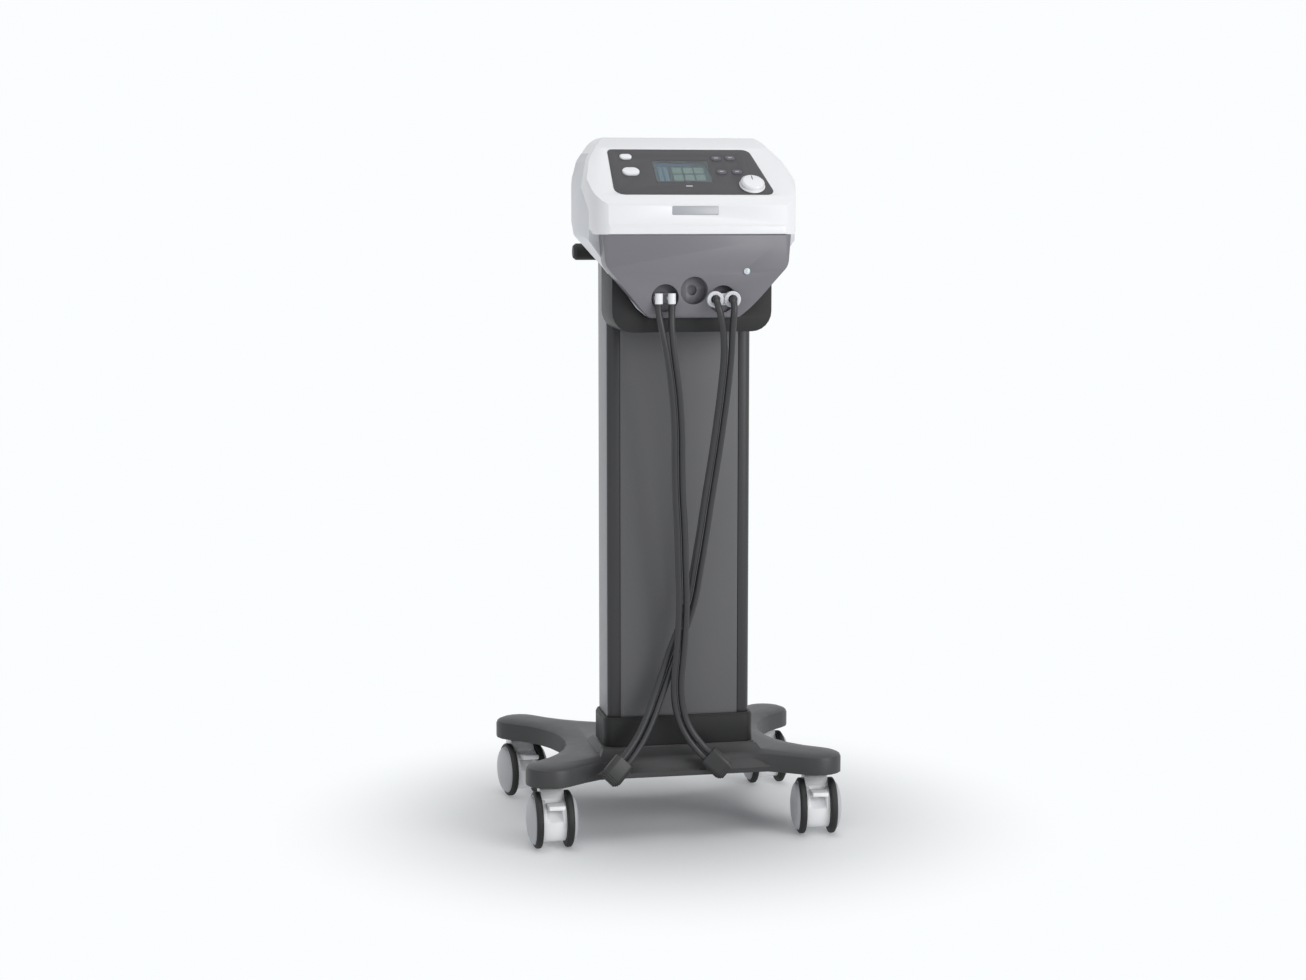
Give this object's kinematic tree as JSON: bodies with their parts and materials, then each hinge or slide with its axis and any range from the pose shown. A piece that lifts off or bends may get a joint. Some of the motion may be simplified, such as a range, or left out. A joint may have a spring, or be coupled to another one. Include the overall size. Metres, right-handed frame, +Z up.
{
  "type": "compression therapy pump on a rolling stand",
  "caption": "Air compression therapy pump: a console with a sloping control panel on a column stand with casters, with two pairs of air hoses.",
  "frame": {"origin": "on the floor under the middle of the object's box without its free hoses", "axes": "+Z up, front of the console towards -Y, +X to the object's right as seen from its front"},
  "size_m": [0.458, 0.4339, 0.9909],
  "materials": {
    "white_shell": "smooth white moulded plastic",
    "light_shell": "fine-textured light grey moulded plastic",
    "grey_shell": "fine-textured mid grey moulded plastic",
    "panel": "satin dark grey panel film",
    "window": "clear display window",
    "black_plastic": "fine-textured black plastic",
    "base_plastic": "textured dark grey moulded cover",
    "column_metal": "powder-coated dark grey aluminium",
    "front_panel": "powder-coated mid grey sheet",
    "steel": "bright plated steel",
    "caster_white": "white nylon",
    "tread": "black soft tread with a light grey hub cover",
    "hose": "satin black flexible air tube",
    "board": "circuit board",
    "key_grey": "grey rubber key",
    "badge": "bare satin plate",
    "lamp": "milky lamp lens"
  },
  "bodies": {
    "stand": {"base_cover": "base_plastic", "base_frame": "steel", "column_profile": "column_metal", "column_front_panel": "front_panel", "column_collar": "black_plastic", "column_bolts": "steel", "console_cradle": "black_plastic", "push_handle": "black_plastic", "caster_stems": "steel", "upper_shell": "white_shell", "front_shell": "grey_shell", "rear_shell": "light_shell", "control_panel": "panel", "display_window": "window", "display_module": "board", "control_board": "board", "air_compressor": "steel", "valve_block": "light_shell", "power_supply": "board", "inner_tubes": "light_shell", "port_block": "grey_shell", "badge_plate": "badge", "indicator_lamp": "lamp", "case_screws": "steel", "mains_inlet": "black_plastic", "left_hose_plug": "white_shell", "right_hose_plug": "light_shell", "left_hose": "hose", "right_hose": "hose", "left_coupling": "black_plastic", "right_coupling": "black_plastic"},
    "front_left_caster": {"fl_hood": "caster_white", "fl_axle": "steel"},
    "front_left_left_wheel": {"fl_left_wheel": "tread"},
    "front_left_right_wheel": {"fl_right_wheel": "tread"},
    "front_left_pedal": {"fl_brake_pedal": "caster_white"},
    "front_right_caster": {"fr_hood": "caster_white", "fr_axle": "steel"},
    "front_right_left_wheel": {"fr_left_wheel": "tread"},
    "front_right_right_wheel": {"fr_right_wheel": "tread"},
    "front_right_pedal": {"fr_brake_pedal": "caster_white"},
    "rear_left_caster": {"rl_hood": "caster_white", "rl_axle": "steel"},
    "rear_left_left_wheel": {"rl_left_wheel": "tread"},
    "rear_left_right_wheel": {"rl_right_wheel": "tread"},
    "rear_left_pedal": {"rl_brake_pedal": "caster_white"},
    "rear_right_caster": {"rr_hood": "caster_white", "rr_axle": "steel"},
    "rear_right_left_wheel": {"rr_left_wheel": "tread"},
    "rear_right_right_wheel": {"rr_right_wheel": "tread"},
    "rear_right_pedal": {"rr_brake_pedal": "caster_white"},
    "power_button": {"power_button": "white_shell"},
    "start_button": {"start_button": "white_shell"},
    "key_1": {"key_1": "key_grey"},
    "key_2": {"key_2": "key_grey"},
    "key_3": {"key_3": "key_grey"},
    "key_4": {"key_4": "key_grey"},
    "dial": {"dial": "white_shell"},
    "mains_switch": {"mains_switch": "black_plastic"}
  },
  "joints": [
    {"name": "front_left_swivel", "type": "hinge", "parent": "stand", "child": "front_left_caster", "pos_m": [-0.193, -0.122, 0.07], "axis": [0, 0, 1], "continuous": true},
    {"name": "front_left_left_spin", "type": "hinge", "parent": "front_left_caster", "child": "front_left_left_wheel", "pos_m": [-0.193, -0.138, 0.04], "axis": [1, 0, 0], "continuous": true},
    {"name": "front_left_right_spin", "type": "hinge", "parent": "front_left_caster", "child": "front_left_right_wheel", "pos_m": [-0.193, -0.138, 0.04], "axis": [1, 0, 0], "continuous": true},
    {"name": "front_left_brake", "type": "hinge", "parent": "front_left_caster", "child": "front_left_pedal", "pos_m": [-0.193, -0.151, 0.062], "axis": [1, 0, 0], "range_deg": [0, 16]},
    {"name": "front_right_swivel", "type": "hinge", "parent": "stand", "child": "front_right_caster", "pos_m": [0.193, -0.122, 0.07], "axis": [0, 0, 1], "continuous": true},
    {"name": "front_right_left_spin", "type": "hinge", "parent": "front_right_caster", "child": "front_right_left_wheel", "pos_m": [0.19105, -0.13788, 0.04], "axis": [0.9925, -0.1219, 0], "continuous": true},
    {"name": "front_right_right_spin", "type": "hinge", "parent": "front_right_caster", "child": "front_right_right_wheel", "pos_m": [0.19105, -0.13788, 0.04], "axis": [0.9925, -0.1219, 0], "continuous": true},
    {"name": "front_right_brake", "type": "hinge", "parent": "front_right_caster", "child": "front_right_pedal", "pos_m": [0.18947, -0.15078, 0.062], "axis": [0.9925, -0.1219, 0], "range_deg": [0, 16]},
    {"name": "rear_left_swivel", "type": "hinge", "parent": "stand", "child": "rear_left_caster", "pos_m": [-0.193, 0.182, 0.07], "axis": [0, 0, 1], "continuous": true},
    {"name": "rear_left_left_spin", "type": "hinge", "parent": "rear_left_caster", "child": "rear_left_left_wheel", "pos_m": [-0.1905, 0.1662, 0.04], "axis": [0.9877, 0.1564, 0], "continuous": true},
    {"name": "rear_left_right_spin", "type": "hinge", "parent": "rear_left_caster", "child": "rear_left_right_wheel", "pos_m": [-0.1905, 0.1662, 0.04], "axis": [0.9877, 0.1564, 0], "continuous": true},
    {"name": "rear_left_brake", "type": "hinge", "parent": "rear_left_caster", "child": "rear_left_pedal", "pos_m": [-0.18846, 0.15336, 0.062], "axis": [0.9877, 0.1564, 0], "range_deg": [0, 16]},
    {"name": "rear_right_swivel", "type": "hinge", "parent": "stand", "child": "rear_right_caster", "pos_m": [0.193, 0.182, 0.07], "axis": [0, 0, 1], "continuous": true},
    {"name": "rear_right_left_spin", "type": "hinge", "parent": "rear_right_caster", "child": "rear_right_left_wheel", "pos_m": [0.193, 0.166, 0.04], "axis": [1, 0, 0], "continuous": true},
    {"name": "rear_right_right_spin", "type": "hinge", "parent": "rear_right_caster", "child": "rear_right_right_wheel", "pos_m": [0.193, 0.166, 0.04], "axis": [1, 0, 0], "continuous": true},
    {"name": "rear_right_brake", "type": "hinge", "parent": "rear_right_caster", "child": "rear_right_pedal", "pos_m": [0.193, 0.153, 0.062], "axis": [1, 0, 0], "range_deg": [0, 16]},
    {"name": "power_button_press", "type": "slide", "parent": "stand", "child": "power_button", "axis": [0, 0.5861, -0.8102], "range_m": [0, 0.001], "stiffness_N_per_m": 800},
    {"name": "start_button_press", "type": "slide", "parent": "stand", "child": "start_button", "axis": [0, 0.5861, -0.8102], "range_m": [0, 0.001], "stiffness_N_per_m": 800},
    {"name": "key_1_press", "type": "slide", "parent": "stand", "child": "key_1", "axis": [0, 0.5861, -0.8102], "range_m": [0, 0.001], "stiffness_N_per_m": 800},
    {"name": "key_2_press", "type": "slide", "parent": "stand", "child": "key_2", "axis": [0, 0.5861, -0.8102], "range_m": [0, 0.001], "stiffness_N_per_m": 800},
    {"name": "key_3_press", "type": "slide", "parent": "stand", "child": "key_3", "axis": [0, 0.5861, -0.8102], "range_m": [0, 0.001], "stiffness_N_per_m": 800},
    {"name": "key_4_press", "type": "slide", "parent": "stand", "child": "key_4", "axis": [0, 0.5861, -0.8102], "range_m": [0, 0.001], "stiffness_N_per_m": 800},
    {"name": "dial_turn", "type": "hinge", "parent": "stand", "child": "dial", "pos_m": [0.082, -0.17755, 0.92307], "axis": [0, -0.5861, 0.8102], "continuous": true},
    {"name": "mains_switch_rock", "type": "hinge", "parent": "stand", "child": "mains_switch", "pos_m": [0.082, -0.019, 0.934], "axis": [1, 0, 0], "range_deg": [-10, 10]}
  ]
}
